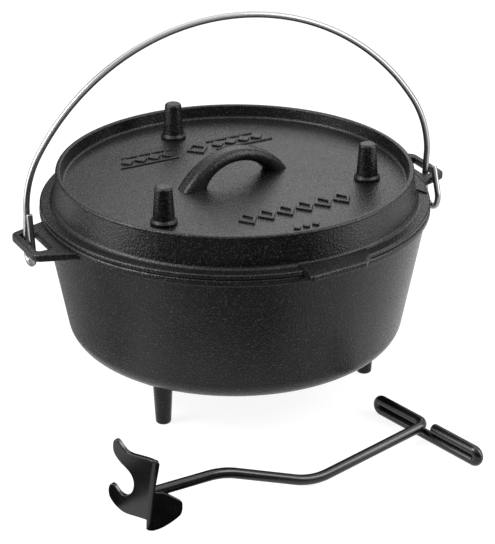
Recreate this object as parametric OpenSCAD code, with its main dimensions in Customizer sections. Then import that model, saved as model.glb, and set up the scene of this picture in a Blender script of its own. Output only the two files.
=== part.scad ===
// Camp oven set: a footed cast pot, its flanged lid, a wire bail and a lid lifter.
// Millimetres. The floor is z = 0, the pot axis is the z axis and the front looks along -y.

/* [Show] */
// Piece to draw

/* [Pot] */
// Radius of the mouth, inside
mouth_r = 127; // [124:0.5:129]
// Wall thickness of the casting
pot_wall = 5.2; // [4.4:0.1:5.6]
// Draft of the wall from upright, in degrees
pot_draft = 10.5; // [8:0.5:12]
// Height of the rim above the floor
rim_z = 131.1; // [126:0.1:136]
// Height of the underside above the floor
base_z = 33.6; // [28:0.2:38]
// Outer radius between wall and underside
pot_corner_r = 16.8; // [14:0.2:19]
// Inner radius between wall and pot floor
pot_inner_corner_r = 13; // [10:0.5:15]
// Height of the band round the rim
band_h = 5; // [4.4:0.1:6]
// Stand of the band proud of the wall
band_proud = 1.4; // [0.8:0.1:2]

/* [Feet] */
// Distance of each foot from the pot axis
foot_circle_r = 91.3; // [84:0.1:94]
// Direction of the first foot, in degrees
foot_turn = -1.95; // [-10:0.05:6]
// Radius of a foot where it leaves the pot
foot_top_r = 6.9; // [6.4:0.1:7.6]
// Radius of a foot near the floor
foot_tip_r = 5.2; // [4.4:0.1:5.8]

/* [Ears] */
// Direction of the right ear, in degrees
ear_turn = 27.7; // [26:0.1:29]
// Length of an ear beyond the band
ear_length = 23.2; // [22.8:0.1:24]
// Half of an ear's width along its outer edge
ear_half_w = 20.8; // [20.2:0.1:21.4]
// Widening of an ear towards the pot, per millimetre
ear_flare = 0.35; // [0.32:0.01:0.38]
// Thickness of an ear
ear_t = 5.2; // [4.8:0.1:5.6]
// Depth of an ear's top below the rim
ear_drop = 1.7; // [1.4:0.1:2.4]
// Corner radius of an ear
ear_corner_r = 6.5; // [5.5:0.1:7.5]
// Width of the bar outside an ear's hole
ear_bar = 4.9; // [4.5:0.1:5.3]
// Width of an ear's hole
hole_w = 10.2; // [9.9:0.1:10.6]
// Space between the bail leg and the near end of the hole
hole_slack = 2.95; // [2.8:0.05:3.4]
// Length of the hole from the ear's middle to its far end
hole_far_end = 14.6; // [13.6:0.1:16]

/* [Lid] */
// Gap between the pot rim and the lid flange
lid_gap = 0.05; // [0.05:0.01:0.2]
// Outer radius of the flange
flange_r = 133.4; // [132.6:0.1:134.4]
// Thickness of the flange
flange_t = 3.3; // [3:0.1:4]
// Height of the upstanding rim above the flange underside
lid_rise = 24.9; // [23:0.1:27]
// Outer radius of the upstanding rim
lid_rim_r = 122.1; // [121.6:0.1:122.6]
// Spread of the skirt from the rim down to the flange
skirt_spread = 2.6; // [2:0.1:3.2]
// Thickness of the upstanding rim at its top
lid_rim_t = 3.6; // [3.2:0.1:4]
// Depth of the dish below the rim
dish_depth = 9.5; // [8.5:0.1:10.5]
// Thickness of the lid plate
plate_t = 5.2; // [4.4:0.1:5.6]
// Depth of the locating ring inside the mouth
ring_depth = 3; // [2:0.1:4]
// Clearance between the locating ring and the mouth
ring_clear = 2.4; // [1.8:0.1:3]
// Thickness of the tab above the flange
tab_rise = 1; // [0.6:0.1:1.6]
// Height of the raised land above the flange
land_rise = 1.2; // [0.8:0.1:1.6]

/* [Lid legs and handle] */
// Distance of each lid leg from the axis
lid_leg_circle_r = 90; // [84:0.1:94]
// Direction of the first lid leg, in degrees
lid_leg_turn = -0.45; // [-6:0.05:6]
// Height of a lid leg above the plate
lid_leg_h = 25.6; // [22:0.1:27]
// Radius of a lid leg at its top
lid_leg_tip_r = 5.7; // [5:0.1:6]
// Radius of a lid leg at its root
lid_leg_root_r = 7.4; // [6.8:0.1:8]
// Direction of the handle, in degrees
handle_turn = 34.5; // [30:0.5:38]
// Half of the handle's span
handle_half = 36.5; // [34:0.5:38]
// Rise of the handle's centre line above the plate
handle_rise = 17.6; // [16.6:0.1:18.6]
// Width of the handle strap
handle_w = 14.2; // [13:0.1:15.4]
// Thickness of the handle strap
handle_t = 9; // [8.4:0.1:9.6]
// Offset of the handle from the axis
handle_x = -1.5; // [-2.5:0.1:1]

/* [Bail] */
// Thickness of the bail wire
bail_d = 4.3; // [4:0.1:4.4]
// Direction of the bail's swing axis, in degrees
bail_turn = 23; // [22.6:0.1:23.4]
// Lean of the bail at rest, in degrees
bail_lean = 4.1; // [3.2:0.1:5]
// Clearance between the left leg and the outer side of its hole
leg_clear = 0.85; // [0.7:0.05:1.1]
// Height of the straight part of a leg above the swing axis
bail_straight = 18; // [15:0.5:21]
// Sideways set of both hooks towards the left
leg_skew = 1.5; // [0.6:0.1:1.8]
// Height of the arch above the swing axis
bail_rise = 132.4; // [130:0.2:137]
// Radius of the arch at its shoulders
shoulder_r = 73; // [70:1:76]
// Width of the left hook, leg to tail
hook_w_left = 11; // [10.4:0.1:12]
// Clearance between the right tail and the side of the ear
tail_clear = 4.75; // [4.6:0.05:5.2]
// Depth of the left hook's bend centre below the swing axis
hook_drop_left = 9.8; // [9.4:0.1:10.6]
// Depth of the right hook's bend centre below the swing axis
hook_drop_right = 11.2; // [10.8:0.1:11.5]
// Length of the left tail
tail_left = 29; // [26:0.5:31]
// Length of the right tail
tail_right = 18.5; // [16:0.5:21]
// Lean of the left tail back towards its leg, in degrees
tail_in_left = 5; // [4:0.5:6]
// Lean of the right tail back towards its leg, in degrees
tail_in_right = 18; // [15:0.5:18.5]

/* [Lifter] */
// Thickness of the lifter rod
rod_d = 7; // [6.6:0.1:7.4]
// Height of the rod where it meets the claw
claw_z = 26.6; // [26.4:0.1:28]
// Roll of the claw about the rod, in degrees
claw_roll = 10; // [8:0.5:11]
// Thickness of the claw sheet
sheet_t = 3; // [2.6:0.1:3.4]
// Inner radius of the bend in the sheet
sheet_bend_r = 2; // [1.6:0.1:2.4]
// Angle between the two parts of the sheet, in degrees
sheet_angle = 111; // [108:0.5:114]
// Reach of the claw from its bend
claw_reach = 32.5; // [30:0.5:35]
// Radius of the claw's throat
throat_r = 9.8; // [9.4:0.1:10.2]
// Width of the weld round the rod
weld_w = 2; // [1.6:0.1:2.4]
// Length of the weld along the rod
weld_l = 4; // [3.4:0.1:4.6]
// Gap between the rod and the sheet beside it
rod_gap = 0.4; // [0.3:0.1:0.6]
// Length of the grip's left arm
grip_arm_left = 42.2; // [39:0.2:46]
// Length of the grip's right arm
grip_arm_right = 45.7; // [42:0.1:50]
// Gap between the two wires of the grip
grip_gap = 0.3; // [0.2:0.1:0.8]
// Distance from the grip's middle to its free end
grip_open = 7.6; // [7:0.2:12]
// Length of the rod's level end behind the claw
rod_stub = 52; // [48:0.5:56]

/* [Hidden] */
$fn = 96;
iron = [0.16, 0.16, 0.17];
steel = [0.75, 0.75, 0.77];
coat = [0.08, 0.08, 0.08];

pot_slope = tan(pot_draft);
wall_across = pot_wall / cos(pot_draft);
outer_top_r = mouth_r + wall_across;
band_r = outer_top_r + band_proud;
floor_z = base_z + pot_wall;
ear_top = rim_z - ear_drop;
ear_mid = ear_top - ear_t / 2;
ear_reach = band_r + ear_length;
hole_out = ear_reach - ear_bar;
hole_in = hole_out - hole_w;
bail_r = bail_d / 2;
leg_x = hole_out - bail_r - leg_clear;
leg_y = leg_x * tan(ear_turn - bail_turn);
hole_leg_end = leg_y + bail_r + hole_slack;
bail_half = norm([leg_x, leg_y]) - leg_skew;
right_leg = (bail_half - leg_skew) * [cos(ear_turn - bail_turn), sin(ear_turn - bail_turn)];
hook_w_right = ear_half_w + (ear_reach - right_leg[0]) * ear_flare - right_leg[1] + bail_r + tail_clear;
flange_z = rim_z + lid_gap;
lid_top = flange_z + lid_rise;
plate_z = lid_top - dish_depth;
skirt_r = lid_rim_r + skirt_spread;
lid_wall = 4.2;
handle_r = (pow(handle_half, 2) + pow(handle_rise, 2)) / (2 * handle_rise);
handle_sweep = 2 * asin(handle_half / handle_r);
arch_a = bail_half - shoulder_r;
arch_b = bail_rise - bail_straight;
crown_r = (pow(arch_a, 2) + pow(arch_b, 2) - pow(shoulder_r, 2)) / (2 * (arch_b - shoulder_r));
crown_z = bail_rise - crown_r;
shoulder_sweep = atan2(bail_straight - crown_z, arch_a);
rod_r = rod_d / 2;
rod_turn = 30.1;
rod_dir = [cos(rod_turn), sin(rod_turn), 0];
rod_end = [-52, -217, claw_z];
rod_knee = rod_end + rod_dir * rod_stub;
rod_elbow = [50.1, -162.5, rod_r - 0.5];
grip_turn = -50.8;
grip_dir = [cos(grip_turn), sin(grip_turn), 0];
grip_pitch = rod_d + grip_gap;
grip_high = [0, 0, rod_r + grip_pitch];
grip_low = [0, 0, rod_r];
grip_mid = [127.1, -100.7, 0];
grip_left = grip_mid - grip_dir * grip_arm_left;
grip_right = grip_mid + grip_dir * grip_arm_right;
grip_stop = grip_mid + grip_dir * grip_open + grip_high;
rod_path = [
    rod_end - rod_dir * 8,
    rod_knee,
    rod_elbow,
    grip_mid + grip_high,
    grip_left + grip_high
];
rod_bends = [0, 55, 55, 6.5, 0];
sheet_sweep = 180 - sheet_angle;
claw_away = [cos(sheet_angle), sin(sheet_angle)];
claw_k = claw_reach / 32.5;
sheet_low = -25.6;
sheet_high = 28.4;
cut_back = 0.15;
swell = 0.04;
lap = 0.15;
bend_r = rod_r + 0.06;

function unit(v) = v / norm(v);
function turn_at(p, i) = acos(unit(p[i] - p[i - 1]) * unit(p[i + 1] - p[i]));
function cut_at(p, b, i) = (i == 0 || i == len(p) - 1) ? 0 : b[i] * tan(turn_at(p, i) / 2);
function frame(x, y, z, o) = [
    [x[0], y[0], z[0], o[0]],
    [x[1], y[1], z[1], o[1]],
    [x[2], y[2], z[2], o[2]],
    [0, 0, 0, 1]
];
function across(v) = unit(cross(abs(v[2]) > 0.9 ? [1, 0, 0] : [0, 0, 1], v));

module straight(a, b, r) {
    w = unit(b - a);
    x = across(w);
    multmatrix(frame(x, cross(w, x), w, a))
        cylinder(h = norm(b - a), r = r);
}

module knuckle(p, r) {
    translate(p)
        sphere(r = r + swell);
}

// Part of a wire ring in the xy plane, shorter by a cut at both ends
module ring_part(ring_r, from, sweep, r, cut) {
    trim = cut / ring_r * 180 / PI;
    rotate([0, 0, from + trim])
        rotate_extrude(angle = sweep - 2 * trim)
        translate([ring_r, 0])
        circle(r = r);
}

module bend(p, b, i) {
    u = unit(p[i] - p[i - 1]);
    v = unit(p[i + 1] - p[i]);
    m = unit(v - u * (u * v));
    start = p[i] - u * cut_at(p, b, i);
    multmatrix(frame(-m, u, cross(u, m), start + m * b[i]))
        ring_part(b[i], 0, turn_at(p, i), bend_r, 0);
}

// Bent rod: each straight laps a little into its bends, which are a trace thicker
module bent_rod(p, b) {
    last = len(p) - 1;
    for (i = [0 : last - 1]) {
        w = unit(p[i + 1] - p[i]);
        start = i == 0 ? 0 : cut_at(p, b, i) - lap;
        end = cut_at(p, b, i + 1) - lap;
        straight(p[i] + w * start, p[i + 1] - w * end, rod_r);
    }
    for (i = [1 : last - 1]) {
        bend(p, b, i);
    }
}

// Section of a bowl with a rounded lower corner, filled to the axis
module bowl(r_top, z_top, z_low, corner) {
    r_low = r_top - (z_top - z_low) * pot_slope;
    back = corner * tan(45 - pot_draft / 2);
    cx = r_low - back;
    cz = z_low + corner;
    polygon([
        [0, z_low],
        [cx, z_low],
        [cx + corner * cos(pot_draft), cz - corner * sin(pot_draft)],
        [r_top, z_top],
        [0, z_top]
    ]);
    translate([cx, cz])
        circle(r = corner);
}

module band() {
    edge = 1.5;
    translate([mouth_r, rim_z - band_h])
        square([band_r - edge - mouth_r, band_h]);
    translate([mouth_r, rim_z - band_h + edge])
        square([band_r - mouth_r, band_h - 2 * edge]);
    for (z = [rim_z - band_h + edge, rim_z - edge]) {
        translate([band_r - edge, z])
            circle(r = edge);
    }
}

module foot() {
    tip = 1.6;
    rotate_extrude() {
        polygon([
            [0, 0],
            [foot_tip_r - tip, 0],
            [foot_tip_r, tip],
            [foot_top_r, base_z - 5],
            [foot_top_r + 2.2, base_z],
            [foot_top_r + 2.2, base_z + 2],
            [0, base_z + 2]
        ]);
        translate([foot_tip_r - tip, tip])
            circle(r = tip);
    }
}

module ear_outline() {
    tilt = atan(ear_flare);
    cx = ear_reach - ear_corner_r;
    cy = ear_half_w + ear_corner_r * ear_flare - ear_corner_r / cos(tilt);
    sx = cx + ear_corner_r * sin(tilt);
    sy = cy + ear_corner_r * cos(tilt);
    root = mouth_r - 15;
    root_half = ear_half_w + (ear_reach - root) * ear_flare;
    polygon([
        [root, -root_half],
        [sx, -sy],
        [ear_reach, -cy],
        [ear_reach, cy],
        [sx, sy],
        [root, root_half]
    ]);
    for (side = [-1, 1]) {
        translate([cx, side * cy])
            circle(r = ear_corner_r);
    }
}

module ear_hole() {
    r = 2.4;
    translate([hole_in + r, -hole_leg_end])
        square([hole_out - hole_in - 2 * r, hole_leg_end + hole_far_end]);
    translate([hole_in, r - hole_leg_end])
        square([hole_out - hole_in, hole_leg_end + hole_far_end - 2 * r]);
    for (x = [hole_in + r, hole_out - r]) {
        for (y = [r - hole_leg_end, hole_far_end - r]) {
            translate([x, y])
                circle(r = r);
        }
    }
}

module ear() {
    translate([0, 0, ear_top - ear_t])
        linear_extrude(height = ear_t)
        difference() {
            ear_outline();
            ear_hole();
        }
}

module pot() {
    color(iron)
        difference() {
            union() {
                rotate_extrude()
                    bowl(outer_top_r, rim_z, base_z, pot_corner_r);
                rotate_extrude()
                    band();
                for (a = [0, 120, 240]) {
                    rotate([0, 0, foot_turn + a])
                        translate([foot_circle_r, 0, 0])
                        foot();
                }
                for (a = [0, 180]) {
                    rotate([0, 0, ear_turn + a])
                        ear();
                }
            }
            rotate_extrude()
                bowl(mouth_r + pot_slope, rim_z + 1, floor_z, pot_inner_corner_r);
            translate([0, 0, rim_z])
                cylinder(h = 20, r = ear_reach + 15);
        }
}

// Section of the lid: ring, flange, skirt, upstanding rim and dished plate
module lid_section() {
    lip = 1.3;
    root = 2.8;
    foot = 2;
    inner = lid_rim_r - lid_rim_t;
    hollow = skirt_r - lid_wall;
    flange_top = flange_z + flange_t;
    ring_r = mouth_r - ring_clear;
    brow = [lid_rim_r - 0.5, lid_top - 2.2];
    lean = atan((skirt_r - brow[0]) / (brow[1] - flange_top));
    back = root * tan(45 - lean / 2);
    difference() {
        union() {
            polygon([
                [0, plate_z - plate_t],
                [hollow - 4, plate_z - plate_t],
                [hollow, plate_z - plate_t - 4],
                [hollow, flange_z - ring_depth],
                [ring_r - 1, flange_z - ring_depth],
                [ring_r, flange_z - ring_depth + 1],
                [ring_r, flange_z],
                [flange_r - lip, flange_z],
                [flange_r, flange_z + lip],
                [flange_r, flange_top - lip],
                [flange_r - lip, flange_top],
                [skirt_r + back, flange_top],
                [skirt_r - back * sin(lean), flange_top + back * cos(lean)],
                brow,
                [lid_rim_r, lid_top - 1.7],
                [lid_rim_r, lid_top - lip],
                [lid_rim_r - lip, lid_top],
                [inner + lip, lid_top],
                [inner, lid_top - lip],
                [inner - 0.8, plate_z + foot],
                [inner - 0.8 - foot, plate_z],
                [0, plate_z]
            ]);
            for (z = [flange_z + lip, flange_top - lip]) {
                translate([flange_r - lip, z])
                    circle(r = lip);
            }
            for (r = [lid_rim_r - lip, inner + lip]) {
                translate([r, lid_top - lip])
                    circle(r = lip);
            }
        }
        translate([inner - 0.8 - foot, plate_z + foot])
            circle(r = foot);
        translate([skirt_r + back, flange_top + root])
            circle(r = root);
    }
}

module lid_leg() {
    tip = 1.5;
    rotate_extrude() {
        polygon([
            [0, -2],
            [lid_leg_root_r + 1.6, -2],
            [lid_leg_root_r + 1.6, 0.6],
            [lid_leg_root_r + 0.4, 2],
            [lid_leg_root_r, 3.4],
            [lid_leg_tip_r, lid_leg_h - tip],
            [lid_leg_tip_r - tip, lid_leg_h],
            [0, lid_leg_h]
        ]);
        translate([lid_leg_tip_r - tip, lid_leg_h - tip])
            circle(r = tip);
    }
}

module strap_section() {
    square([handle_t, handle_w - handle_t], center = true);
    for (side = [-1, 1]) {
        translate([0, side * (handle_w - handle_t) / 2])
            circle(d = handle_t);
    }
}

module handle() {
    intersection() {
        translate([0, 0, plate_z + handle_rise - handle_r])
            rotate([90, 0, 0])
            rotate([0, 0, 90 - handle_sweep / 2 - 8])
            rotate_extrude(angle = handle_sweep + 16)
            translate([handle_r, 0])
            strap_section();
        translate([0, 0, plate_z - 2])
            cylinder(h = 60, r = handle_half + 40);
    }
}

module tab() {
    top = flange_z + flange_t + tab_rise;
    translate([0, 0, flange_z])
        linear_extrude(height = top - flange_z)
        polygon([
            [38.6, -115.4],
            [49.2, -137.4],
            [51.6, -136.2],
            [85, -113.6],
            [86.4, -111.6],
            [87.4, -103],
            [84.4, -86]
        ]);
}

module land() {
    low = flange_z + 1;
    rotate([0, 0, 1.5])
        translate([0, 0, low])
        rotate_extrude(angle = 21.5)
        translate([skirt_r - 1, 0])
        square([flange_r - 1.6 - skirt_r + 1, flange_t + land_rise - 1]);
}

module lid() {
    color(iron)
        union() {
            rotate_extrude()
                lid_section();
            for (a = [0, 120, 240]) {
                rotate([0, 0, lid_leg_turn + a])
                    translate([lid_leg_circle_r, 0, plate_z])
                    lid_leg();
            }
            translate([handle_x, 0, 0])
                rotate([0, 0, handle_turn])
                handle();
            tab();
            land();
        }
}

// Part of a wire arch standing in the xz plane
module arch_part(ring_r, from, sweep) {
    rotate([90, 0, 0])
        ring_part(ring_r, from, sweep, bail_r, cut_back);
}

// Straight leg of the bail, with a knuckle at both ends
module leg(low, high) {
    w = cut_back * unit(high - low);
    knuckle(low, bail_r);
    straight(low + w, high - w, bail_r);
    knuckle(high, bail_r);
}

// Hook below a bail leg: it bends forward and its tail stands up again
module hook(wide, drop, tail, tail_in) {
    r = wide / 2;
    straight([0, 0, cut_back - drop], [0, 0, -cut_back], bail_r);
    knuckle([0, 0, -drop], bail_r);
    translate([0, -r, -drop]) {
        rotate([0, 90, 0])
            ring_part(r, -90 - tail_in, 180 + tail_in, bail_r, cut_back);
        rotate([-tail_in, 0, 0]) {
            knuckle([0, -r, 0], bail_r);
            straight([0, -r, cut_back], [0, -r, tail], bail_r);
        }
    }
}

module bail() {
    color(steel)
        translate([0, 0, ear_mid])
        rotate([0, 0, bail_turn])
        rotate([-bail_lean, 0, 0]) {
            translate([0, 0, crown_z])
                arch_part(crown_r, shoulder_sweep, 180 - 2 * shoulder_sweep);
            translate([arch_a, 0, bail_straight])
                arch_part(shoulder_r, 0, shoulder_sweep);
            translate([-arch_a, 0, bail_straight])
                arch_part(shoulder_r, 180 - shoulder_sweep, shoulder_sweep);
            for (side = [-1, 1]) {
                knuckle([side * crown_r * cos(shoulder_sweep), 0, crown_z + crown_r * sin(shoulder_sweep)], bail_r);
                leg([side * bail_half - leg_skew, 0, 0], [side * bail_half, 0, bail_straight]);
            }
            translate([bail_half - leg_skew, 0, 0])
                hook(hook_w_right, hook_drop_right, tail_right, tail_in_right);
            translate([-bail_half - leg_skew, 0, 0])
                rotate([0, 0, ear_turn - bail_turn])
                hook(hook_w_left, hook_drop_left, tail_left, tail_in_left);
        }
}

// Frame of the claw sheet: x along the rod, the sheet's bend round the z axis
module at_claw() {
    side = rod_r + rod_gap - sheet_bend_r;
    back = (side * cos(sheet_angle) - sheet_bend_r) / sin(sheet_angle);
    translate(rod_end)
        rotate([0, 0, rod_turn])
        rotate([claw_roll, 0, 0])
        translate([-back, -side, 0])
        children();
}

function bend_points(r) = [for (i = [0 : 8]) [r * cos(-90 - sheet_sweep * i / 8), r * sin(-90 - sheet_sweep * i / 8)]];
function sheet_side(r) = concat([[60, -r]], bend_points(r), [claw_away * 60 + bend_points(r)[8]]);
function reversed(v) = [for (i = [len(v) - 1 : -1 : 0]) v[i]];

// Everything on the far side of the sheet's inner face
module beyond_sheet() {
    at_claw()
        translate([0, 0, -60])
        linear_extrude(height = 120)
        polygon(concat(sheet_side(sheet_bend_r), [[-90, 60], [-90, -60], [60, -60]]));
}

module claw_outline() {
    throat = [22.7, -0.7];
    difference() {
        polygon(claw_k * [
            [-1.2, sheet_low],
            [0, sheet_low],
            [0.4, -18.4],
            [6, -19.8],
            [14, -22.2],
            [18, -23.1],
            [22, -23],
            [26.4, -21.5],
            [29.7, -19.4],
            [31.6, -17],
            [32.5, -13.6],
            [32.3, -10.6],
            [31.4, -8.2],
            [29.6, -7.2],
            [31.2, 20.4],
            [31.2, 24.6],
            [30.2, 27.2],
            [28.4, 28],
            [26.6, 27.3],
            [24, 25.3],
            [20.6, 23.7],
            [16.4, 24],
            [9.2, 26.2],
            [1.4, sheet_high],
            [-1.2, sheet_high]
        ]);
        translate(claw_k * throat)
            circle(r = throat_r);
        polygon(claw_k * [
            throat,
            [13.6, 3],
            [13.5, 5],
            [14.5, 7.8],
            [17, 10.1],
            [20.4, 11.7],
            [24.5, 13.2],
            [28, 15.5],
            [30.2, 17.8],
            [31.2, 20.5],
            [48, 20],
            [48, -7.2],
            [29.6, -7.2],
            [27.6, -7.6],
            [25.4, -9],
            [22.9, -10]
        ]);
    }
}

module wing_outline() {
    polygon(claw_k * [
        [-6, sheet_low],
        [2, sheet_low],
        [4.8, -25.3],
        [9.6, -23.9],
        [14.2, -21.6],
        [17.6, -19.2],
        [18.7, -14.8],
        [18, -8.7],
        [8.4, -0.6],
        [4.6, 2.3],
        [1, 4.2],
        [-2, 4.2],
        [-2.1, 6],
        [-0.5, 25.4],
        [-1, 27.4],
        [-2.4, sheet_high],
        [-6, sheet_high]
    ]);
}

module lifter_claw() {
    color(coat)
        intersection() {
            at_claw()
                translate([0, 0, -50])
                linear_extrude(height = 100)
                polygon(concat(sheet_side(sheet_bend_r), reversed(sheet_side(sheet_bend_r + sheet_t))));
            at_claw()
                union() {
                    multmatrix(frame([claw_away[0], claw_away[1], 0], [0, 0, 1], [claw_away[1], -claw_away[0], 0], [0, 0, 0]))
                        translate([0, 0, -30])
                        linear_extrude(height = 60)
                        claw_outline();
                    translate([0, -1, 0])
                        rotate([90, 0, 0])
                        linear_extrude(height = 20)
                        wing_outline();
                }
        }
}

// Half ring that turns the upper wire of the grip back under itself
module grip_end(p, out) {
    multmatrix(frame(out, [0, 0, 1], cross(out, [0, 0, 1]), p + (grip_low + grip_high) / 2))
        ring_part(grip_pitch / 2, -90, 180, bend_r, 0);
}

module lifter_rod() {
    color(coat)
        difference() {
            union() {
                bent_rod(rod_path, rod_bends);
                grip_end(grip_left, -grip_dir);
                straight(grip_left + grip_low - grip_dir * lap, grip_right + grip_low + grip_dir * lap, rod_r);
                grip_end(grip_right, grip_dir);
                straight(grip_right + grip_high + grip_dir * lap, grip_stop, rod_r);
            }
            beyond_sheet();
        }
}

module lifter_weld() {
    start = rod_end - rod_dir * 8;
    color(coat)
        difference() {
            straight(start, rod_end + rod_dir * weld_l, rod_r + weld_w);
            straight(start - rod_dir, rod_end + rod_dir * 20, rod_r);
            beyond_sheet();
        }
}

pot();
lid();
bail();
lifter_rod();
lifter_claw();
lifter_weld();
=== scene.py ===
import math

import bmesh
import bpy
from mathutils import Matrix, Vector, noise
from mathutils.geometry import delaunay_2d_cdt


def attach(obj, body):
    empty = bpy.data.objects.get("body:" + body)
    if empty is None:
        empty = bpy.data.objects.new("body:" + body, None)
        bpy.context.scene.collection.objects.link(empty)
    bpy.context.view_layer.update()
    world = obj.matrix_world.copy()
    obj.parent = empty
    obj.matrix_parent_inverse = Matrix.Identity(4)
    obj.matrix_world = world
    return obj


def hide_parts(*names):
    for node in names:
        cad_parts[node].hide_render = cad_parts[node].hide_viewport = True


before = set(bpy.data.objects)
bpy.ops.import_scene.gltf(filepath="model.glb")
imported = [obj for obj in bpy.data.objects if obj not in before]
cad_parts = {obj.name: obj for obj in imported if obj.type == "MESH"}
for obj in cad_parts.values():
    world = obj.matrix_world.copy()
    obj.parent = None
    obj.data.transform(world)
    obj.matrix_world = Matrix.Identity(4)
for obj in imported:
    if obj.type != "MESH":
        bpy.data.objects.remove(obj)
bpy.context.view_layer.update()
mm = 0.001
print("frame loaded:", ", ".join(sorted(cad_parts)))


# Shape tools: sizes are in millimetres and angles in degrees until a mesh is made.


def polar(radius, degrees):
    a = math.radians(degrees)
    return (radius * math.cos(a), radius * math.sin(a))


def turned(degrees, axis="Z"):
    return Matrix.Rotation(math.radians(degrees), 4, axis)


def moved(x, y, z):
    return Matrix.Translation(Vector((x, y, z)))


def shares(steps):
    # even shares from 0 to 1, both ends included
    return [k / steps for k in range(steps + 1)]


def arc(radius, start, end, steps):
    return [Vector(polar(radius, start + (end - start) * t)) for t in shares(steps)]


def roundCorners(points, closed, steps):
    # points are (x, y, corner radius), and a corner that has a radius becomes an arc
    out = []
    count = len(points)
    for i, (x, y, radius) in enumerate(points):
        here = Vector((x, y))
        if radius <= 0 or (not closed and i in (0, count - 1)):
            out.append(here)
            continue
        u = (Vector(points[i - 1][:2]) - here).normalized()
        v = (Vector(points[(i + 1) % count][:2]) - here).normalized()
        half = u.angle(v) / 2
        reach = radius / math.tan(half)
        middle = here + (u + v).normalized() * (radius / math.sin(half))
        start = here + u * reach - middle
        turn = -start.angle_signed(here + v * reach - middle)
        out += [middle + Matrix.Rotation(turn * t, 2) @ start for t in shares(steps)]
    return out


def softenLoop(points, rounds):
    # corner cutting: each round puts two points on every side and drops the corners
    for _ in range(rounds):
        sides = zip(points, points[1:] + points[:1])
        points = [p.lerp(q, t) for p, q in sides for t in (0.25, 0.75)]
    return points


def insetLoop(loop, distance):
    # moves the sides of an anticlockwise loop inwards, with the mitre limited at sharp corners
    out = []
    for i, p in enumerate(loop):
        before = (p - loop[i - 1]).normalized()
        after = (loop[(i + 1) % len(loop)] - p).normalized()
        inward = Vector((-before.y - after.y, before.x + after.x))
        mitre = max(0.5, inward.length / 2)
        out.append(p + inward.normalized() * (distance / mitre))
    return out


def insideLoop(p, loop):
    hit = False
    for i, a in enumerate(loop):
        b = loop[i - 1]
        if (a.y > p.y) != (b.y > p.y) and p.x < (b.x - a.x) * (p.y - a.y) / (b.y - a.y) + a.x:
            hit = not hit
    return hit


def gridInside(loop, spacing):
    # points of a square grid that lie well inside a loop
    inner = insetLoop(loop, spacing * 0.6)
    xs, ys = zip(*loop)
    out = []
    x = min(xs)
    while x < max(xs):
        y = min(ys)
        while y < max(ys):
            out.append(Vector((x, y)))
            y += spacing
        x += spacing
    return [p for p in out if insideLoop(p, inner)]


def joinRings(bm, a, b):
    for k in range(len(a)):
        n = (k + 1) % len(a)
        bm.faces.new((a[k], a[n], b[n], b[k]))


def lathe(bm, profile, turns, place=Matrix.Identity(4)):
    # turns an open (radius, height) profile round the z axis
    rings = []
    for r, z in profile:
        count = turns if r > 0 else 1
        spots = [(*polar(r, 360 * k / turns), z) for k in range(count)]
        rings.append([bm.verts.new(place @ Vector(p)) for p in spots])
    for a, b in zip(rings, rings[1:]):
        for k in range(turns):
            n = (k + 1) % turns
            corners = (a[k % len(a)], a[n % len(a)], b[n % len(b)], b[k % len(b)])
            corners = list(dict.fromkeys(corners))  # only two or three are left beside a point on the axis
            if len(corners) > 2:
                bm.faces.new(corners)


def slab(bm, loops, low, high, edge, place=lambda p: p, steps=4, grid=0):
    # a plate from an outer loop (anticlockwise) and holes (clockwise), with rounded edges on both faces;
    # place puts a point of it in space, and a grid spacing gives the faces points that can follow a bend
    levels = []
    for t in shares(steps):
        across, up = polar(edge, 90 * t)
        levels.append((edge - up, low + edge - across))
    levels += [(inset, low + high - z) for inset, z in reversed(levels)]
    rims = {0: [], len(levels) - 1: []}
    for loop in loops:
        rows = []
        for i, (inset, z) in enumerate(levels):
            flat = insetLoop(loop, inset)
            rows.append([bm.verts.new(place(Vector((*p, z)))) for p in flat])
            if i in rims:
                rims[i].append((flat, rows[-1]))
        for a, b in zip(rows, rows[1:]):
            joinRings(bm, a, b)
    for i, faceRims in rims.items():
        fillFace(bm, faceRims, levels[i][1], place, grid)


def fillFace(bm, rims, z, place, grid):
    # closes a plate's face between its outer rim and the rims of its holes, each (flat points, vertices)
    outer, *holes = [loop for loop, _ in rims]
    flat, verts, edges = [], [], []
    for loop, made in rims:
        first = len(flat)
        flat += loop
        verts += made
        edges += [(first + k, first + (k + 1) % len(loop)) for k in range(len(loop))]
    if grid:
        spots = gridInside(outer, grid)
        flat += spots
        verts += [bm.verts.new(place(Vector((*p, z)))) for p in spots]
    points, _, faces, sources, _, _ = delaunay_2d_cdt(flat, edges, [], 0, 1e-5)
    made = []
    for p, source in zip(points, sources):
        made.append(verts[source[0]] if source else bm.verts.new(place(Vector((*p, z)))))
    for face in faces:
        middle = sum((points[k] for k in face), Vector((0, 0))) / len(face)
        if insideLoop(middle, outer) and not any(insideLoop(middle, hole) for hole in holes):
            bm.faces.new([made[k] for k in face])


def arcPath(points, step=1.2):
    # points are (x, y, z, bend radius): a wire's path with true arcs at its bends, in steps of this length
    out = [Vector(points[0][:3])]
    for before, (x, y, z, radius), after in zip(points, points[1:], points[2:]):
        here = Vector((x, y, z))
        u = (Vector(before[:3]) - here).normalized()
        v = (Vector(after[:3]) - here).normalized()
        half = u.angle(v) / 2
        middle = here + (u + v).normalized() * (radius / math.sin(half))
        start = here + u * (radius / math.tan(half)) - middle
        turn = math.pi - 2 * half
        for t in shares(max(8, int(turn * radius / step))):
            out.append(middle + start * math.cos(turn * t) - u * (radius * math.sin(turn * t)))
    out.append(Vector(points[-1][:3]))
    return out


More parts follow.
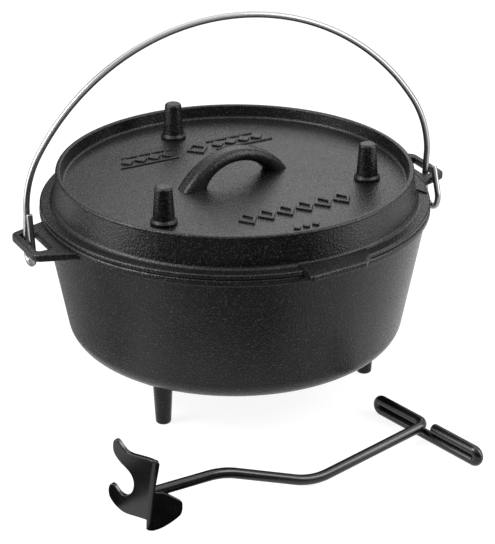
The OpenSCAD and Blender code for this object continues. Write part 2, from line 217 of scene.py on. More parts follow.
def sweep(bm, path, section, up):
    # carries a section, given as (across, up) points for each place on the path, along the path
    upNow = Vector(up)
    rings = []
    for i, p in enumerate(path):
        ahead = (path[min(i + 1, len(path) - 1)] - path[max(i - 1, 0)]).normalized()
        upNow = (upNow - ahead * upNow.dot(ahead)).normalized()
        side = ahead.cross(upNow)
        rings.append([bm.verts.new(p + side * s + upNow * t) for s, t in section(i)])
    for a, b in zip(rings, rings[1:]):
        joinRings(bm, a, b)
    bm.faces.new(rings[0])
    bm.faces.new(rings[-1])


brokenEdge = [(0, 0.75), (0.35, 0.2), (1, 0)]  # a wire's cut end: shares along the wire and off its radius


def wire(bm, path, radius, up, ends, sides):
    # round wire whose cut ends have a broken edge of this size
    head = (path[1] - path[0]).normalized()
    tail = (path[-2] - path[-1]).normalized()
    full = [path[0] + head * (ends * along) for along, _ in brokenEdge]
    full += path[1:-1]
    full += [path[-1] + tail * (ends * along) for along, _ in reversed(brokenEdge)]

    def ring(i):
        fromEnd = min(i, len(full) - 1 - i, len(brokenEdge) - 1)
        r = radius - ends * brokenEdge[fromEnd][1]
        return [polar(r, 360 * k / sides) for k in range(sides)]

    sweep(bm, full, ring, up)


def makePiece(name, bm, finish, body, node):
    for v in bm.verts:
        v.co *= mm
    bmesh.ops.recalc_face_normals(bm, faces=bm.faces)
    mesh = bpy.data.meshes.new(name)
    bm.to_mesh(mesh)
    bm.free()
    mesh.shade_smooth()
    mesh.materials.append(finish)
    piece = bpy.data.objects.new(name, mesh)
    bpy.context.scene.collection.objects.link(piece)
    even = piece.modifiers.new("evenNormals", "WEIGHTED_NORMAL")
    even.keep_sharp = True
    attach(piece, body)
    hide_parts(node)
    print("made", name, len(mesh.polygons), "faces")


# Finish tools


def hexColour(text):
    # sRGB hex to linear
    out = []
    for k in (1, 3, 5):
        c = int(text[k:k + 2], 16) / 255
        out.append(c / 12.92 if c <= 0.04045 else ((c + 0.055) / 1.055) ** 2.4)
    return (*out, 1)


def addNode(tree, kind, settings=None, links=None):
    node = tree.nodes.new(kind)
    for key, value in (settings or {}).items():
        if isinstance(key, int) or key in node.inputs:
            node.inputs[key].default_value = value
        else:
            setattr(node, key, value)
    for key, source in (links or {}).items():
        tree.links.new(source, node.inputs[key])
    return node


def newFinish(name):
    finish = bpy.data.materials.new(name)
    finish.use_nodes = True
    finish.node_tree.nodes.clear()
    return finish, finish.node_tree


def perMetre(size):
    # noise scale at which one lump is about this many millimetres across
    return 1 / (size * mm)


# Grey iron, sand cast and seasoned: a near-black skin of baked oil over the print of the sand.
# The eye sees a soft sheen that breaks up in the grains, and the paler specks on the grain's crests are
# painted glints.
ironLook = {
    "dark": "#070707",
    "pale": "#101011",
    "mottle": 18,  # mm, patches of thicker and thinner oil
    "mottleSpan": (0.3, 0.72),  # noise values that are all dark and all pale
    "grain": 1.2,  # mm, drawn coarser than the real 0.5 so that it shows
    "grainDepth": 0.52,  # mm
    "grainBump": 0.7,
    # painted glints: paler specks on the grain's crests stand in for the glints of the sand's facets
    "paintedGlint": "#343436",
    "paintedGlintSpan": (0.58, 0.72),  # grain heights between which a crest takes its painted glint
    "swell": 2.4,  # mm, slower waves of the mould's face under the grain
    "swellDepth": 0.208,  # mm
    "swellBump": 0.4,
    "rough": (0.18, 0.36),  # in the hollows and on the crests
    "roughSpan": (0.3, 0.7),
    "ior": 1.31,  # oil has about 1.47, matched lower because the photographed iron mirrors little
}


def sandCastIron():
    s = ironLook
    finish, tree = newFinish("sandCastSeasonedIron")
    place = addNode(tree, "ShaderNodeTexCoord").outputs["Object"]
    mottle = addNode(tree, "ShaderNodeTexNoise",
                     {"Scale": perMetre(s["mottle"]), "Detail": 4.0}, {"Vector": place})
    grain = addNode(tree, "ShaderNodeTexNoise",
                    {"Scale": perMetre(s["grain"]), "Detail": 3.0, "Roughness": 0.55}, {"Vector": place})
    swell = addNode(tree, "ShaderNodeTexNoise",
                    {"Scale": perMetre(s["swell"]), "Detail": 2.0}, {"Vector": place})
    skin = addNode(tree, "ShaderNodeValToRGB", {}, {"Fac": mottle.outputs["Fac"]})
    for stop, at, tone in zip(skin.color_ramp.elements, s["mottleSpan"], (s["dark"], s["pale"])):
        stop.position = at
        stop.color = hexColour(tone)
    # painted glints: the grain's crests take the paler speck colour
    glintMask = addNode(tree, "ShaderNodeMapRange",
                    {"From Min": s["paintedGlintSpan"][0], "From Max": s["paintedGlintSpan"][1]},
                    {"Value": grain.outputs["Fac"]})
    skinWithGlints = addNode(tree, "ShaderNodeMix", {"data_type": "RGBA", 7: hexColour(s["paintedGlint"])},
                   {0: glintMask.outputs["Result"], 6: skin.outputs["Color"]})
    rough = addNode(tree, "ShaderNodeMapRange",
                    {"From Min": s["roughSpan"][0], "From Max": s["roughSpan"][1],
                     "To Min": s["rough"][0], "To Max": s["rough"][1]}, {"Value": grain.outputs["Fac"]})
    grainBump = addNode(tree, "ShaderNodeBump",
                        {"Strength": s["grainBump"], "Distance": s["grainDepth"] * mm},
                        {"Height": grain.outputs["Fac"]})
    bothBumps = addNode(tree, "ShaderNodeBump",
                        {"Strength": s["swellBump"], "Distance": s["swellDepth"] * mm},
                        {"Height": swell.outputs["Fac"], "Normal": grainBump.outputs["Normal"]})
    shader = addNode(tree, "ShaderNodeBsdfPrincipled", {"IOR": s["ior"]},
                     {"Base Color": skinWithGlints.outputs[2], "Roughness": rough.outputs["Result"],
                      "Normal": bothBumps.outputs["Normal"]})
    addNode(tree, "ShaderNodeOutputMaterial", {}, {"Surface": shader.outputs["BSDF"]})
    return finish


# Mild steel wire, drawn bright: a metal whose reflections are blurred by fine draw marks.
wireLook = {
    "colour": "#8e8f91",
    "marks": 0.9,  # mm, drawn coarser than the real 0.1 so that they show
    "markDepth": 0.03,  # mm
    "markBump": 0.25,
    "rough": (0.24, 0.36),
}


def drawnSteelWire():
    s = wireLook
    finish, tree = newFinish("drawnBrightSteelWire")
    place = addNode(tree, "ShaderNodeTexCoord").outputs["Object"]
    marks = addNode(tree, "ShaderNodeTexNoise",
                    {"Scale": perMetre(s["marks"]), "Detail": 4.0}, {"Vector": place})
    rough = addNode(tree, "ShaderNodeMapRange",
                    {"To Min": s["rough"][0], "To Max": s["rough"][1]}, {"Value": marks.outputs["Fac"]})
    bump = addNode(tree, "ShaderNodeBump", {"Strength": s["markBump"], "Distance": s["markDepth"] * mm},
                   {"Height": marks.outputs["Fac"]})
    shader = addNode(tree, "ShaderNodeBsdfPrincipled",
                     {"Base Color": hexColour(s["colour"]), "Metallic": 1.0},
                     {"Roughness": rough.outputs["Result"], "Normal": bump.outputs["Normal"]})
    addNode(tree, "ShaderNodeOutputMaterial", {}, {"Surface": shader.outputs["BSDF"]})
    return finish


# Powder coat, gloss black, baked on mild steel: deep black, with a faint orange-peel ripple in its
# highlights.
coatLook = {
    "dark": "#050506",
    "pale": "#0b0b0c",
    "drift": 9,  # mm, slow change of tone and gloss
    "driftSpan": (0.3, 0.7),  # noise values that are all dark and all pale
    "peel": 1.6,  # mm
    "peelDepth": 0.03,  # mm
    "peelBump": 0.4,
    "rough": (0.2, 0.32),
    "ior": 1.42,  # a little below the usual 1.5, matched to the photographed coat
}


def blackPowderCoat():
    s = coatLook
    finish, tree = newFinish("bakedBlackPowderCoat")
    place = addNode(tree, "ShaderNodeTexCoord").outputs["Object"]
    peel = addNode(tree, "ShaderNodeTexNoise",
                   {"Scale": perMetre(s["peel"]), "Detail": 2.0}, {"Vector": place})
    drift = addNode(tree, "ShaderNodeTexNoise",
                    {"Scale": perMetre(s["drift"]), "Detail": 2.0}, {"Vector": place})
    coat = addNode(tree, "ShaderNodeValToRGB", {}, {"Fac": drift.outputs["Fac"]})
    for stop, at, tone in zip(coat.color_ramp.elements, s["driftSpan"], (s["dark"], s["pale"])):
        stop.position = at
        stop.color = hexColour(tone)
    rough = addNode(tree, "ShaderNodeMapRange",
                    {"To Min": s["rough"][0], "To Max": s["rough"][1]}, {"Value": drift.outputs["Fac"]})
    ripple = addNode(tree, "ShaderNodeBump", {"Strength": s["peelBump"], "Distance": s["peelDepth"] * mm},
                     {"Height": peel.outputs["Fac"]})
    shader = addNode(tree, "ShaderNodeBsdfPrincipled", {"IOR": s["ior"]},
                     {"Base Color": coat.outputs["Color"], "Roughness": rough.outputs["Result"],
                      "Normal": ripple.outputs["Normal"]})
    addNode(tree, "ShaderNodeOutputMaterial", {}, {"Surface": shader.outputs["BSDF"]})
    return finish


iron = sandCastIron()
brightWire = drawnSteelWire()
blackCoat = blackPowderCoat()
print("finishes ready")


# The pot, one casting with its feet and ears

potSizes = {
    "mouth": 127,  # inner radius at the rim
    "wall": 5.2,
    "draft": 10.5,
    "rimZ": 131.1,
    "baseZ": 33.6,  # underside
    "innerCorner": 13,
    "outerCorner": 16.8,
    "mouthEdge": 0.8,
    "bandR": 133.7,  # band round the rim
    "bandH": 5,
    "bandEdge": 1.5,
    "bandFillet": 0.7,
}


def potCasting():
    s = potSizes
    slope = math.tan(math.radians(s["draft"]))
    outerTop = s["mouth"] + s["wall"] / math.cos(math.radians(s["draft"]))
    floorZ = s["baseZ"] + s["wall"]
    bandZ = s["rimZ"] - s["bandH"]
    bm = bmesh.new()
    lathe(bm, roundCorners([
        (0, floorZ, 0),
        (s["mouth"] - (s["rimZ"] - floorZ) * slope, floorZ, s["innerCorner"]),
        (s["mouth"], s["rimZ"], s["mouthEdge"]),
        (s["bandR"], s["rimZ"], s["bandEdge"]),
        (s["bandR"], bandZ, s["bandEdge"]),
        (outerTop - s["bandH"] * slope, bandZ, s["bandFillet"]),
        (outerTop - (s["rimZ"] - s["baseZ"]) * slope, s["baseZ"], s["outerCorner"]),
        (0, s["baseZ"], 0),
    ], closed=False, steps=10), turns=256)
    for k in range(3):
        potFoot(bm, footSizes["firstAt"] + 120 * k)
    for k in range(2):
        potEar(bm, earSizes["turn"] + 180 * k)
    makePiece("potCasting", bm, iron, "pot", "pot")


footSizes = {
    "circle": 91.3,
    "firstAt": -1.95,
    "tipR": 5.2,
    "tipEdge": 1.6,
    "topR": 6.9,
    "topDrop": 0.4,  # below the underside
    "fillet": 3.4,
    "flare": 9,  # how far the foot flows out into the underside
    "flareRise": 1.2,
    "rootRise": 2,
}


def potFoot(bm, degrees):
    # a tapered foot that flows into the underside
    s = footSizes
    baseZ = potSizes["baseZ"]
    lathe(bm, roundCorners([
        (0, 0, 0),
        (s["tipR"], 0, s["tipEdge"]),
        (s["topR"], baseZ - s["topDrop"], s["fillet"]),
        (s["topR"] + s["flare"], baseZ + s["flareRise"], 0),
        (0, baseZ + s["rootRise"], 0),
    ], closed=False, steps=8), turns=64, place=moved(*polar(s["circle"], degrees), 0))


earSizes = {
    "turn": 27.7,
    "rootR": 129.2,  # within the pot's wall
    "rootHalf": 14.3,  # degrees
    "reach": 156.9,
    "halfWide": 20.8,
    "corner": 6.5,
    "low": 124.2,
    "high": 129.4,
    "edge": 1.3,
    "holeIn": 141.8,
    "holeOut": 152,
    "holeLegEnd": 17.35,
    "holeFarEnd": 14.6,
    "holeCorner": 2.4,
}


def potEar(bm, degrees):
    # a flat ear with a long hole for the bail's hook
    s = earSizes
    turn = turned(degrees)
    root = [(*p, 0) for p in arc(s["rootR"], s["rootHalf"], -s["rootHalf"], steps=8)]
    tip = [(s["reach"], side * s["halfWide"], s["corner"]) for side in (-1, 1)]
    hole = [
        (s["holeIn"], -s["holeLegEnd"], s["holeCorner"]),
        (s["holeIn"], s["holeFarEnd"], s["holeCorner"]),
        (s["holeOut"], s["holeFarEnd"], s["holeCorner"]),
        (s["holeOut"], -s["holeLegEnd"], s["holeCorner"]),
    ]
    loops = [roundCorners(root + tip, closed=True, steps=8), roundCorners(hole, closed=True, steps=6)]
    slab(bm, loops, s["low"], s["high"], s["edge"], lambda p: turn @ p)


potCasting()


# The lid, one casting with its legs, handle, grip tab, land and ornament

lidSizes = {
    "seatZ": 131.15,  # just clear of the pot's rim
    "rise": 24.9,  # from the seat to the top of the rim
    "flangeR": 133.4,
    "flangeT": 3.3,
    "flangeEdge": 1.3,
    "skirtR": 124.7,
    "skirtT": 4.2,
    "skirtFillet": 2.8,
    "rimR": 122.1,
    "rimT": 3.6,
    "rimOuterEdge": 1.6,
    "rimInnerEdge": 1.2,
    "beadOut": 0.5,  # the rim's top stands out in a small bead
    "beadLow": 2.2,  # below the rim's top
    "beadHigh": 1.7,
    "beadFillet": 0.5,
    "beadEdge": 0.3,
    "dish": 9.5,  # depth below the rim
    "dishDraft": 0.8,
    "dishFillet": 2,
    "plateT": 5.2,
    "hollowFillet": 4,
    "ringR": 124.6,  # ring below that centres the lid in the mouth
    "ringH": 3,
    "ringInnerEdge": 0.8,
    "ringOuterEdge": 1,
    "ringFillet": 0.5,
}
tabSizes = {
    "outline": [  # x, y, corner radius
        (38.6, -115.4, 0),
        (49.2, -137.4, 1.6),
        (84.6, -113.9, 2.4),
        (87.4, -103, 2),
        (84.4, -86, 0),
    ],
    "rise": 1,  # above the flange
    "edge": 1.2,
}
landSizes = {
    "inner": (123.4, 22.6, 3.6),  # radius, first and last angle
    "outer": (131.8, 0.4, 22.4),
    "low": 1,  # above the seat
    "rise": 1.2,  # above the flange
    "edge": 0.9,
}


def lidCasting():
    s = lidSizes
    top = s["seatZ"] + s["rise"]
    plateZ = top - s["dish"]
    underZ = plateZ - s["plateT"]
    flangeTop = s["seatZ"] + s["flangeT"]
    ringZ = s["seatZ"] - s["ringH"]
    hollowR = s["skirtR"] - s["skirtT"]
    dishR = s["rimR"] - s["rimT"]
    bm = bmesh.new()
    lathe(bm, roundCorners([
        (0, underZ, 0),
        (hollowR, underZ, s["hollowFillet"]),
        (hollowR, ringZ, s["ringInnerEdge"]),
        (s["ringR"], ringZ, s["ringOuterEdge"]),
        (s["ringR"], s["seatZ"], s["ringFillet"]),
        (s["flangeR"], s["seatZ"], s["flangeEdge"]),
        (s["flangeR"], flangeTop, s["flangeEdge"]),
        (s["skirtR"], flangeTop, s["skirtFillet"]),
        (s["rimR"] - s["beadOut"], top - s["beadLow"], s["beadFillet"]),
        (s["rimR"], top - s["beadHigh"], s["beadEdge"]),
        (s["rimR"], top, s["rimOuterEdge"]),
        (dishR, top, s["rimInnerEdge"]),
        (dishR - s["dishDraft"], plateZ, s["dishFillet"]),
        (0, plateZ, 0),
    ], closed=False, steps=8), turns=256)
    for k in range(3):
        lidLeg(bm, legSizes["firstAt"] + 120 * k, plateZ)
    lidHandle(bm, plateZ)
    tab = roundCorners(tabSizes["outline"], closed=True, steps=5)
    slab(bm, [tab], s["seatZ"], flangeTop + tabSizes["rise"], tabSizes["edge"])
    land = arc(*landSizes["inner"], steps=10) + arc(*landSizes["outer"], steps=10)
    slab(bm, [land], s["seatZ"] + landSizes["low"], flangeTop + landSizes["rise"], landSizes["edge"])
    lidRelief(bm, plateZ)
    makePiece("lidCasting", bm, iron, "lid", "lid")


legSizes = {
    "circle": 90,
    "firstAt": -0.45,
    "height": 25.6,
    "tipR": 5.7,
    "tipEdge": 1.7,
    "rootR": 7.4,
    "collarTop": 3.4,  # low collar round the leg's root
    "collarFillet": 1.2,
    "collarOut": 1.5,
    "collarShoulder": 2,
    "collarEdge": 1,
    "collarFoot": 1.6,
    "sink": 1,  # into the plate
}


def lidLeg(bm, degrees, plateZ):
    s = legSizes
    lathe(bm, roundCorners([
        (0, s["height"], 0),
        (s["tipR"], s["height"], s["tipEdge"]),
        (s["rootR"], s["collarTop"], s["collarFillet"]),
        (s["rootR"] + s["collarOut"], s["collarShoulder"], s["collarEdge"]),
        (s["rootR"] + s["collarFoot"], -s["sink"], 0),
        (0, -s["sink"], 0),
    ], closed=False, steps=6), turns=64, place=moved(*polar(s["circle"], degrees), plateZ))


handleSizes = {
    "x": -1.5,  # off the lid's middle
    "turn": 34.5,
    "half": 36.5,  # half its span at the plate
    "rise": 17.6,
    "wide": 14.2,
    "thick": 9,
    "footLeft": 13,  # how much deeper its underside is at the plate
    "footRight": 5,
    "footCurve": 2.5,  # higher keeps the thickening nearer to the plate
    "sink": 6,  # degrees of its arch inside the plate
}


def lidHandle(bm, plateZ):
    # flat arched strap whose underside deepens towards the plate
    s = handleSizes
    turn = turned(s["turn"])
    ring = (s["half"] ** 2 + s["rise"] ** 2) / (2 * s["rise"])
    reach = math.degrees(math.asin(s["half"] / ring)) + s["sink"]
    stand = moved(s["x"], 0, plateZ + s["rise"] - ring) @ turn
    path = []
    for x, z in arc(ring, 90 + reach, 90 - reach, steps=72):
        path.append(stand @ Vector((x, 0, z)))
    crown = (len(path) - 1) / 2
    thick = s["thick"] / 2
    flat = s["wide"] / 2 - thick
    sides = 40

    def strap(i):
        foot = (s["footLeft"] if i < crown else s["footRight"]) * (abs(i - crown) / crown) ** s["footCurve"]
        deepen = 1 + foot / thick
        out = []
        for k in range(sides):
            across, up = polar(thick, 360 * (k + 0.5) / sides)
            out.append((across + math.copysign(flat, across), up if up > 0 else up * deepen))
        return out

    sweep(bm, path, strap, up=turn @ Vector((-1, 0, 0.4)))


reliefSizes = {
    "turn": 29.5,
    "height": 1.4,
    "sink": 0.6,  # into the plate
    "edge": 0.5,
    "corner": 0.6,
    "frame": 5.98,  # how much shorter and narrower a framed lozenge is inside
    "rows": [  # first and pitch run along the row
        {"first": -20, "pitch": -10.5, "count": 4, "across": 61, "size": (10, 11), "framed": False},
        {"first": 20, "pitch": 10.5, "count": 4, "across": 61, "size": (10, 11), "framed": False},
        {"first": 3, "pitch": 0, "count": 1, "across": 60, "size": (17, 19), "framed": True},
        {"first": -28, "pitch": 14.4, "count": 6, "across": -67, "size": (13.6, 19), "framed": True},
        {"first": -7, "pitch": 7, "count": 3, "across": -95, "size": (5.6, 8), "framed": False},
    ],
    "rails": [(15, 60, 53), (15, 52, 69)],  # start, end and place across, on both sides of the middle
    "railThick": 1.7,
    "railZ": 0.3,
    "railEdge": 0.3,
}


def lidRelief(bm, plateZ):
    # plain cast ornament: rows of lozenges, with rails beside the small ones
    s = reliefSizes
    turn = turned(s["turn"])
    low, high = plateZ - s["sink"], plateZ + s["height"]

    def lozenge(along, across, long, wide):
        corners = [(long / 2, 0), (0, wide / 2), (-long / 2, 0), (0, -wide / 2)]
        points = [(along + x, across + y, s["corner"]) for x, y in corners]
        return roundCorners(points, closed=True, steps=3)

    for row in s["rows"]:
        long, wide = row["size"]
        for k in range(row["count"]):
            at = (row["first"] + row["pitch"] * k, row["across"])
            loops = [lozenge(*at, long, wide)]
            if row["framed"]:
                loops.append(lozenge(*at, long - s["frame"], wide - s["frame"])[::-1])
            slab(bm, loops, low, high, s["edge"], lambda p: turn @ p, steps=3)
    for side in (-1, 1):
        for start, end, across in s["rails"]:
            along = [side * (start + (end - start) * t) for t in shares(12)]
            path = [turn @ Vector((x, across, plateZ + s["railZ"])) for x in along]
            wire(bm, path, s["railThick"] / 2, up=(0, 0, 1), ends=s["railEdge"], sides=12)


lidCasting()


# The bail, one wire with a hook and a tail at each end

bailSizes = {
    "thick": 4.3,
    "axisZ": 126.8,
    "turn": 23,
    "lean": 4.1,  # away from the viewer
    "half": 148,
    "rise": 132.4,
    "straight": 18,  # height at which the shoulders begin
    "shoulder": 73,  # bend radius
    "skew": 1.5,  # both legs stand this far to the left of the arch
    "legs": [  # height and share of the skew: plumb in the ear, then leaning to meet the arch
        (-1.5, 1), (0.5, 0.99), (3, 0.86), (7, 0.62), (12, 0.33), (16, 0.1), (18, 0.02),
    ],
    "leftHook": {"wide": 11, "drop": 9.8, "tail": 29, "lean": 5},
    "rightHook": {"wide": 19.5, "drop": 11.2, "tail": 18.5, "lean": 18},
    "endEdge": 0.4,
}


def hookPath(hook, foot, twist=Matrix.Identity(4)):
    # from the tail's tip round the hook to the foot of the leg
    r = hook["wide"] / 2
    path = []
    for t in shares(6):
        y, z = polar(hook["tail"] * (1 - t), 90 - hook["lean"])
        back, up = polar(r, hook["lean"])
        path.append(Vector((0, y - r - back, z + up - hook["drop"])))
    for y, z in arc(r, -180 - hook["lean"], 0, steps=32)[1:]:
        path.append(Vector((0, y - r, z - hook["drop"])))
    return [twist @ p + Vector((foot, 0, 0)) for p in path]


def bailWire():
    s = bailSizes
    shoulderX = s["half"] - s["shoulder"]
    archRise = s["rise"] - s["straight"]
    crown = (shoulderX ** 2 + archRise ** 2 - s["shoulder"] ** 2) / (2 * (archRise - s["shoulder"]))
    crownZ = s["rise"] - crown
    meet = math.degrees(math.atan2(s["straight"] - crownZ, shoulderX))  # where shoulder and crown join
    shoulder = [(shoulderX + x, s["straight"] + z) for x, z in arc(s["shoulder"], 0, meet, steps=40)[1:]]
    arch = shoulder + [(x, crownZ + z) for x, z in arc(crown, meet, 180 - meet, steps=80)[1:-1]]
    arch += [(-x, z) for x, z in reversed(shoulder)]
    rightLeg = [(s["half"] - s["skew"] * share, z) for z, share in s["legs"]]
    leftLeg = [(-s["half"] - s["skew"] * share, z) for z, share in reversed(s["legs"])]
    twist = turned(earSizes["turn"] - s["turn"])  # the left hook lies square to its ear
    path = hookPath(s["rightHook"], s["half"] - s["skew"])
    path += [Vector((x, 0, z)) for x, z in rightLeg + arch + leftLeg]
    path += reversed(hookPath(s["leftHook"], -s["half"] - s["skew"], twist))
    stand = moved(0, 0, s["axisZ"]) @ turned(s["turn"]) @ turned(-s["lean"], "X")
    bm = bmesh.new()
    wire(bm, [stand @ p for p in path], s["thick"] / 2, up=(0.3, 1, 0.2), ends=s["endEdge"], sides=28)
    makePiece("bailWire", bm, brightWire, "bail", "bail")


bailWire()


# The lifter: a bent rod with a folded grip, a bent claw and the weld between them

rodSizes = {
    "thick": 7,
    "turn": 30.1,  # of the straight at the claw
    "end": (-52, -217, 26.6),  # where the rod meets the claw
    "sink": 1.2,  # into the sheet, which stands aslant to the rod's square end
    "toKnee": 52,
    "elbow": (50.1, -162.5, 3),
    "longBend": 55,
    "grip": (127.1, -100.7),
    "gripTurn": -50.8,
    "gripBend": 6.5,
    "armLeft": 42.2,
    "armRight": 45.7,
    "pitch": 7.3,  # between the grip's lower and upper run
    "open": 7.6,  # from the grip's middle to the free end
    "freeArm": (0.15, 0.5, 0.85, 1),  # shares of the last straight
    "endEdge": 0.8,
}


def lifterRod():
    s = rodSizes
    along = Vector((*polar(1, s["turn"]), 0))
    bar = Vector((*polar(1, s["gripTurn"]), 0))
    end = Vector(s["end"])
    mid = Vector((*s["grip"], 0))
    left = mid - bar * s["armLeft"]
    right = mid + bar * s["armRight"]
    low = Vector((0, 0, s["thick"] / 2))
    high = low + Vector((0, 0, s["pitch"]))
    path = arcPath([
        (*(end - along * s["sink"]), 0),
        (*(end + along * s["toKnee"]), s["longBend"]),
        (*s["elbow"], s["longBend"]),
        (*(mid + high), s["gripBend"]),
        (*(left + high), 0),
    ])[:-1]
    for at, way, first in ((left, -bar, 90), (right, bar, -90)):  # half turns at the grip's two ends
        for out, up in arc(s["pitch"] / 2, first, -first, steps=24):
            path.append(at + (low + high) / 2 + way * out + Vector((0, 0, up)))
    freeEnd = mid + bar * s["open"] + high
    path += [(right + high).lerp(freeEnd, t) for t in s["freeArm"]]
    bm = bmesh.new()
    wire(bm, path, s["thick"] / 2, up=(0, 0, 1), ends=s["endEdge"], sides=28)
    makePiece("lifterRod", bm, blackCoat, "lifter", "lifter_rod")


clawSizes = {
    "sheet": 3,
    "bendR": 2,
    "angle": 111,  # between the two flaps
    "roll": 10,
    "rodGap": 0.4,  # between the rod and the flap beside it
    "edge": 0.55,
    "grid": 1.1,
    "outline": [  # of the flat blank, clockwise: x from the bend, y up
        # flap beside the rod
        (-6.2, -25.6), (-9, -25.3), (-13.8, -23.9), (-18.4, -21.6), (-21.6, -19.4), (-22.4, -18),
        (-22.9, -14.8), (-22.4, -9.6), (-21.6, -8.2), (-12.6, -0.6), (-8.8, 2.3), (-5.2, 4.4), (-3.4, 4.8),
        # edge of the upright and top
        (-2.7, 5.6), (-2.8, 8), (-3.9, 24.6), (-3.9, 27.4), (-2.6, 28.5), (1.4, 28.4), (9.2, 26.2),
        (16.4, 23.9), (20.6, 23.6), (24, 25.4),
        # upper horn
        (26.6, 27.6), (28.4, 28.4), (30.6, 27.6), (31.5, 24.6), (31.3, 20.4), (30.2, 17.6), (28, 15.3),
        # throat
        (24.5, 13.1), (20.4, 11.7), (17, 10.2), (14.4, 7.9), (12.9, 4.4), (12.6, 0.4), (13.8, -4.2),
        (16, -7.4), (18.6, -9.7), (21, -10.7), (23.4, -10.4), (25.6, -9),
        # lower horn
        (27.8, -7.3), (29.8, -6.8), (31.6, -7.8), (32.6, -10.6), (32.7, -13.6), (31.8, -17.2),
        (29.7, -19.6), (26.4, -21.7), (22, -23.2), (18, -23.3),
        # underside and notch at the bend
        (14, -22.3), (6, -19.8), (1.2, -18.5), (0.6, -18.4), (0.5, -19), (0.3, -24.8), (0.1, -25.6),
        (-0.8, -25.7),
    ],
}


def faceAt(across):
    # how far along the rod the upright's inner face lies, at this distance across from the bend's axis
    angle = math.radians(clawSizes["angle"])
    return (across * math.cos(angle) - clawSizes["bendR"]) / math.sin(angle)


# frame of the claw's bend: x along the rod, z along the bend
rodAcross = rodSizes["thick"] / 2 + clawSizes["rodGap"] - clawSizes["bendR"]
clawFrame = (moved(*rodSizes["end"]) @ turned(rodSizes["turn"]) @ turned(clawSizes["roll"], "X")
             @ moved(-faceAt(rodAcross), -rodAcross, 0))


def bentSheet(p):
    # carries a point of the flat blank (x from the bend, y up, z through the sheet) onto the bent sheet
    s = clawSizes
    bendTurn = 180 - s["angle"]
    neutral = s["bendR"] + s["sheet"] / 2
    length = neutral * math.radians(bendTurn)
    r = s["bendR"] + p.z
    if p.x >= 0:
        on = Vector(polar(r, -90 - bendTurn)) + Vector(polar(p.x, s["angle"]))
    elif p.x > -length:
        on = Vector(polar(r, -90 - bendTurn - math.degrees(p.x / neutral)))
    else:
        on = Vector((-p.x - length, -r))
    return clawFrame @ Vector((*on, p.y))


def lifterClaw():
    s = clawSizes
    blank = softenLoop([Vector(p) for p in reversed(s["outline"])], rounds=3)
    bm = bmesh.new()
    slab(bm, [blank], 0, s["sheet"], s["edge"], bentSheet, grid=s["grid"])
    makePiece("lifterClaw", bm, blackCoat, "lifter", "lifter_claw")


weldSizes = {
    "out": 0.2,  # beyond the rod's surface
    "proud": 0.9,  # before the sheet
    "lowest": -1.2,  # across, where the flap beside the rod stops the bead
    "bead": 1.45,
    "ripple": 0.22,
    "puddles": 11,
    "uneven": 0.12,
    "unevenScale": 0.6,
    "steps": 96,
    "sides": 14,
}


def lifterWeld():
    # ring of weld metal where the rod meets the sheet, laid in small overlapping puddles
    s = weldSizes
    path = []
    for across, up in arc(rodSizes["thick"] / 2 + s["out"], 0, 360, s["steps"]):
        y = rodAcross + across
        path.append(clawFrame @ Vector((faceAt(y) + s["proud"], max(y, s["lowest"]), up)))

    def puddle(i):
        hump = abs(math.sin(math.pi * s["puddles"] * i / s["steps"]))
        r = s["bead"] + s["ripple"] * hump + s["uneven"] * noise.noise(path[i] * s["unevenScale"])
        return [polar(r, 360 * k / s["sides"]) for k in range(s["sides"])]

    bm = bmesh.new()
    sweep(bm, path, puddle, up=(0, 0, 1))
    makePiece("lifterWeld", bm, blackCoat, "lifter", "lifter_weld")


lifterRod()
lifterClaw()
lifterWeld()


# The studio: sizes are in metres.

lightSizes = {
    "aim": (0, 0, 0.1),
    "air": 0.25,  # strength of the room's own light
    "boxes": {
        "top": {"at": (0, 0.3, 1.6), "size": (1.9, 1.5), "watts": 17},
        "key": {"at": (-1.0, -0.35, 1.05), "size": (0.6, 0.6), "watts": 20},
        "fill": {"at": (1.1, -0.2, 1.05), "size": (0.6, 0.6), "watts": 11},
        "back": {"at": (0.3, 2.0, 1.0), "size": (2.2, 1.0), "watts": 9},
        "left": {"at": (-0.85, -0.3, 0.36), "size": (0.5, 0.7), "watts": 7},
        "right": {"at": (0.9, -0.2, 0.36), "size": (0.45, 0.7), "watts": 5},
    },
}


def softBox(name, at, size, watts):
    lamp = bpy.data.lights.new(name, "AREA")
    lamp.shape = "RECTANGLE"
    lamp.size, lamp.size_y = size
    lamp.energy = watts
    box = bpy.data.objects.new(name, lamp)
    box.location = at
    box.rotation_euler = (Vector(lightSizes["aim"]) - Vector(at)).to_track_quat("-Z", "Y").to_euler()
    bpy.context.scene.collection.objects.link(box)


def whiteRays(tree):
    # 1 for rays that reach the eye straight, by a mirror or through glass, 0 for light that falls on things
    rays = addNode(tree, "ShaderNodeLightPath").outputs
    seen = addNode(tree, "ShaderNodeMath", {"operation": "MAXIMUM"},
                   {0: rays["Is Camera Ray"], 1: rays["Is Glossy Ray"]})
    either = addNode(tree, "ShaderNodeMath", {"operation": "MAXIMUM"},
                     {0: seen.outputs[0], 1: rays["Is Transmission Ray"]})
    return either.outputs[0]


def stagePiece(name, points, faces, finish):
    mesh = bpy.data.meshes.new(name)
    mesh.from_pydata(points, [], faces)
    mesh.materials.append(finish)
    piece = bpy.data.objects.new(name, mesh)
    bpy.context.scene.collection.objects.link(piece)
    return piece


paperSizes = {
    "half": 6,
    "colour": "#f4f4f4",
    "shown": 0.8,  # share of plain white, the rest is lit paper and keeps the shadow
    "glow": 1.12,
}


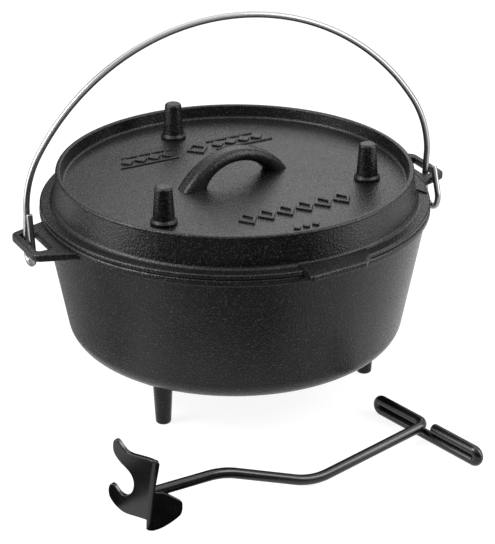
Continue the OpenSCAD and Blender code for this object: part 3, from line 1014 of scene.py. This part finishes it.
def paperFloor():
    # white paper sweep: seen as white, with the object's soft shadow left in
    s = paperSizes
    finish, tree = newFinish("whitePaperSweep")
    white = addNode(tree, "ShaderNodeMath", {"operation": "MULTIPLY", 1: s["shown"]}, {0: whiteRays(tree)})
    paper = addNode(tree, "ShaderNodeBsdfDiffuse", {"Color": hexColour(s["colour"])})
    glow = addNode(tree, "ShaderNodeEmission", {"Color": (1, 1, 1, 1), "Strength": s["glow"]})
    mix = addNode(tree, "ShaderNodeMixShader", {},
                  {0: white.outputs[0], 1: paper.outputs["BSDF"], 2: glow.outputs["Emission"]})
    addNode(tree, "ShaderNodeOutputMaterial", {}, {"Surface": mix.outputs["Shader"]})
    corners = [(x * s["half"], y * s["half"], 0) for x, y in ((-1, -1), (1, -1), (1, 1), (-1, 1))]
    stagePiece("paperFloor", corners, [(0, 1, 2, 3)], finish)


def feltCloth(name, nearEdge, farEdge, colour):
    # a strip of felt between two rows of points, which only reflections see
    finish, tree = newFinish(name + "Felt")
    felt = addNode(tree, "ShaderNodeBsdfDiffuse", {"Color": hexColour(colour)})
    addNode(tree, "ShaderNodeOutputMaterial", {}, {"Surface": felt.outputs["BSDF"]})
    count = len(nearEdge)
    faces = [(k, k + 1, count + k + 1, count + k) for k in range(count - 1)]
    cloth = stagePiece(name, nearEdge + farEdge, faces, finish)
    cloth.visible_camera = False
    cloth.visible_diffuse = False
    cloth.visible_shadow = False


standingCloths = {
    "radius": 0.4,
    "height": 0.22,
    "spread": 112,  # degrees
    "leftRise": 0.2,  # how much higher the rear cloth is at its left end
    "colour": "#050505",
}
lyingCloths = {
    "lift": 0.0005,  # above the floor
    "cloths": {
        "sideCloth": {"near": 0.135, "far": 0.5, "from": 100, "to": 215, "colour": "#909090"},
        "clawCloth": {"near": 0.2, "far": 0.3, "from": 239, "to": 248, "colour": "#181818"},
        "toolCloth": {"near": 0.2, "far": 0.3, "from": 256, "to": 300, "colour": "#181818"},
    },
}


def darkSurround():
    # low black cloths stand before and behind the table and keep upright faces dark
    steps = 24
    s = standingCloths
    for name, middle, rise in (("frontCloth", -90, 0), ("rearCloth", 90, s["leftRise"])):
        edge = arc(s["radius"], middle - s["spread"] / 2, middle + s["spread"] / 2, steps)
        heights = [s["height"] + rise * max(0, 2 * t - 1) for t in shares(steps)]
        foot = [(*p, 0) for p in edge]
        top = [(*p, z) for p, z in zip(edge, heights)]
        feltCloth(name, foot, top, s["colour"])
    # a grey cloth lies at the left, and two black ones before the lifter whose gap lights the claw's bend
    for name, cloth in lyingCloths["cloths"].items():
        rows = []
        for radius in (cloth["near"], cloth["far"]):
            edge = arc(radius, cloth["from"], cloth["to"], steps)
            rows.append([(*p, lyingCloths["lift"]) for p in edge])
        feltCloth(name, *rows, cloth["colour"])


def studioAir():
    # white where it is seen or mirrored, a weaker even light on the object
    world = bpy.data.worlds.new("studioAir")
    bpy.context.scene.world = world
    world.use_nodes = True
    tree = world.node_tree
    tree.nodes.clear()
    strength = addNode(tree, "ShaderNodeMapRange", {"To Min": lightSizes["air"], "To Max": 1.0},
                       {"Value": whiteRays(tree)})
    air = addNode(tree, "ShaderNodeBackground", {"Color": (1, 1, 1, 1)},
                  {"Strength": strength.outputs["Result"]})
    addNode(tree, "ShaderNodeOutputWorld", {}, {"Surface": air.outputs["Background"]})


cameraSizes = {
    "at": (0.0086, -1.3232, 0.6824),
    "pitch": 24.62,  # degrees downwards
    "lens": 138.29,  # mm
    "sensor": 36,  # mm
    "nearest": 0.05,
}


def photoCamera():
    s = cameraSizes
    camera = bpy.data.objects.new("photoCamera", bpy.data.cameras.new("photoCamera"))
    camera.data.sensor_fit = "VERTICAL"
    camera.data.sensor_height = s["sensor"]
    camera.data.lens = s["lens"]
    camera.data.clip_start = s["nearest"]
    camera.location = s["at"]
    camera.rotation_euler = (math.radians(90 - s["pitch"]), 0, 0)
    bpy.context.scene.collection.objects.link(camera)
    bpy.context.scene.camera = camera


for name, box in lightSizes["boxes"].items():
    softBox(name + "Box", box["at"], box["size"], box["watts"])
paperFloor()
darkSurround()
studioAir()
photoCamera()
bpy.context.scene.view_settings.view_transform = "Standard"
print("studio set")
